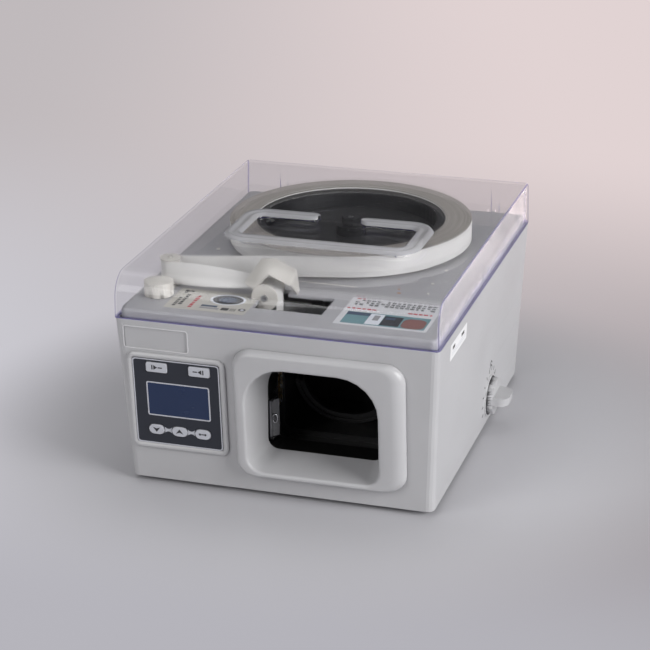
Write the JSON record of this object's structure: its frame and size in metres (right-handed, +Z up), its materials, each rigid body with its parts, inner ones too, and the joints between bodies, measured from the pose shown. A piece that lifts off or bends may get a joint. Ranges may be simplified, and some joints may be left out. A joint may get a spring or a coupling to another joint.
{
  "type": "banknote strapping machine",
  "caption": "Desktop machine that straps a stack of notes with paper tape: front throat, keypad, and a tape reel under a clear hinged lid.",
  "frame": {"origin": "middle of the whole box on the surface that the feet stand on", "axes": "+Z up, -Y out of the front with the throat and keypad, +X to the side with the knob"},
  "size_m": [0.316, 0.3796, 0.2126],
  "materials": {
    "shell_grey": "satin moulded",
    "deck_grey": "satin moulded",
    "clear_lid": "clear polished",
    "black_plastic": "fine texture",
    "white_plastic": "natural nylon",
    "slate_film": "printed film",
    "lcd_glass": "dark blue glass",
    "key_grey": "printed film keys",
    "paper": "uncoated",
    "rubber": "matt",
    "bright_steel": "ground",
    "zinc_steel": "zinc plated sheet",
    "cast_alloy": "as cast",
    "brass": "turned",
    "board_green": "solder mask",
    "core_steel": "varnished laminations"
  },
  "bodies": {
    "chassis": {"casing": "shell_grey", "base_plate": "zinc_steel", "foot_front_left": "rubber", "foot_front_right": "rubber", "foot_back_left": "rubber", "foot_back_right": "rubber", "base_screw_1": "zinc_steel", "base_screw_2": "zinc_steel", "base_screw_3": "zinc_steel", "base_screw_4": "zinc_steel", "deck": "deck_grey", "throat_bezel": "shell_grey", "throat_liner": "black_plastic", "tape_track": "black_plastic", "panel_bezel": "shell_grey", "keypad_film": "slate_film", "lcd_window": "lcd_glass", "display_board": "board_green", "control_board": "board_green", "transformer": "core_steel", "power_inlet": "black_plastic", "hinge_bracket_left": "zinc_steel", "hinge_bracket_right": "zinc_steel", "hinge_pin_left": "bright_steel", "hinge_pin_right": "bright_steel", "reel_spindle": "bright_steel", "reel_nut": "white_plastic", "roller_bracket": "white_plastic", "turn_drum": "white_plastic", "drum_screw": "zinc_steel", "tape_hood": "white_plastic", "tape_run": "paper", "feed_frame": "zinc_steel", "feed_motor": "core_steel", "frame_channel": "zinc_steel", "seal_block": "cast_alloy", "cam_motor": "zinc_steel", "tension_control": "black_plastic"},
    "lid": {"lid": "clear_lid"},
    "reel": {"reel_hub": "black_plastic", "tape_roll": "paper"},
    "guide_roller": {"guide_roller": "white_plastic"},
    "feed_roller": {"feed_roller": "rubber", "feed_shaft": "bright_steel"},
    "pinch_lever": {"pinch_lever": "zinc_steel"},
    "pinch_roller": {"pinch_roller": "rubber"},
    "cam_shaft": {"cam_shaft": "bright_steel", "cam_gear": "white_plastic"},
    "cam_pinion": {"cam_pinion": "brass"},
    "clamp_bar": {"clamp_bar": "zinc_steel"},
    "sealer_bar": {"sealer_bar": "brass"},
    "cutter_bar": {"cutter_bar": "bright_steel"},
    "start_flap": {"start_flap": "bright_steel"},
    "tension_knob": {"tension_knob": "shell_grey"},
    "key_left": {"key_left": "key_grey"},
    "key_right": {"key_right": "key_grey"},
    "key_down": {"key_down": "key_grey"},
    "key_up": {"key_up": "key_grey"},
    "key_clear": {"key_clear": "key_grey"},
    "power_rocker": {"power_rocker": "black_plastic"}
  },
  "joints": [
    {"name": "lid_hinge", "type": "hinge", "parent": "chassis", "child": "lid", "pos_m": [-0.00802, 0.18625, 0.1672], "axis": [-1, 0, 0], "range_deg": [0, 100]},
    {"name": "reel_spin", "type": "hinge", "parent": "chassis", "child": "reel", "pos_m": [-0.00802, 0.05765, 0.172], "axis": [0, 0, 1], "continuous": true},
    {"name": "guide_spin", "type": "hinge", "parent": "chassis", "child": "guide_roller", "pos_m": [-0.13202, -0.10535, 0.172], "axis": [0, 0, 1], "continuous": true},
    {"name": "feed_spin", "type": "hinge", "parent": "chassis", "child": "feed_roller", "pos_m": [-0.01552, -0.11135, 0.146], "axis": [0, 1, 0], "continuous": true},
    {"name": "pinch_open", "type": "hinge", "parent": "chassis", "child": "pinch_lever", "pos_m": [-0.05102, -0.11135, 0.14], "axis": [0, -1, 0], "range_deg": [0, 15], "stiffness_Nm_per_rad": 0.4},
    {"name": "pinch_spin", "type": "hinge", "parent": "pinch_lever", "child": "pinch_roller", "pos_m": [-0.03252, -0.11135, 0.146], "axis": [0, 1, 0], "continuous": true},
    {"name": "cam_spin", "type": "hinge", "parent": "chassis", "child": "cam_shaft", "pos_m": [-0.08982, -0.11135, 0.08], "axis": [0, 1, 0], "continuous": true},
    {"name": "pinion_spin", "type": "hinge", "parent": "chassis", "child": "cam_pinion", "pos_m": [-0.08982, -0.09905, 0.05], "axis": [0, 1, 0], "continuous": true},
    {"name": "clamp_slide", "type": "slide", "parent": "chassis", "child": "clamp_bar", "axis": [1, 0, 0], "range_m": [0, 0.008], "stiffness_N_per_m": 300},
    {"name": "sealer_slide", "type": "slide", "parent": "chassis", "child": "sealer_bar", "axis": [1, 0, 0], "range_m": [0, 0.008], "stiffness_N_per_m": 300},
    {"name": "cutter_slide", "type": "slide", "parent": "chassis", "child": "cutter_bar", "axis": [1, 0, 0], "range_m": [0, 0.008], "stiffness_N_per_m": 300},
    {"name": "flap_swing", "type": "hinge", "parent": "chassis", "child": "start_flap", "pos_m": [-0.02862, -0.13275, 0.0425], "axis": [0, 0, 1], "range_deg": [0, 40], "stiffness_Nm_per_rad": 0.02},
    {"name": "knob_turn", "type": "hinge", "parent": "chassis", "child": "tension_knob", "pos_m": [0.13618, 0.04065, 0.03197], "axis": [0.999, 0, -0.0443], "range_deg": [-135, 135]},
    {"name": "key_press_left", "type": "slide", "parent": "chassis", "child": "key_left", "axis": [0, 0.9971, 0.0757], "range_m": [0, 0.0006], "stiffness_N_per_m": 1500},
    {"name": "key_press_right", "type": "slide", "parent": "chassis", "child": "key_right", "axis": [0, 0.9971, 0.0757], "range_m": [0, 0.0006], "stiffness_N_per_m": 1500},
    {"name": "key_press_down", "type": "slide", "parent": "chassis", "child": "key_down", "axis": [0, 0.9971, 0.0757], "range_m": [0, 0.0006], "stiffness_N_per_m": 1500},
    {"name": "key_press_up", "type": "slide", "parent": "chassis", "child": "key_up", "axis": [0, 0.9971, 0.0757], "range_m": [0, 0.0006], "stiffness_N_per_m": 1500},
    {"name": "key_press_clear", "type": "slide", "parent": "chassis", "child": "key_clear", "axis": [0, 0.9971, 0.0757], "range_m": [0, 0.0006], "stiffness_N_per_m": 1500},
    {"name": "rocker_tilt", "type": "hinge", "parent": "chassis", "child": "power_rocker", "pos_m": [-0.07002, 0.17419, 0.04492], "axis": [-1, 0, 0], "range_deg": [0, 14]}
  ],
  "couplings": [
    {"joint": "guide_spin", "follows": "reel_spin", "ratio": -14.625},
    {"joint": "feed_spin", "follows": "reel_spin", "ratio": 13},
    {"joint": "pinch_spin", "follows": "reel_spin", "ratio": -16.714},
    {"joint": "pinion_spin", "follows": "cam_spin", "ratio": -3}
  ]
}
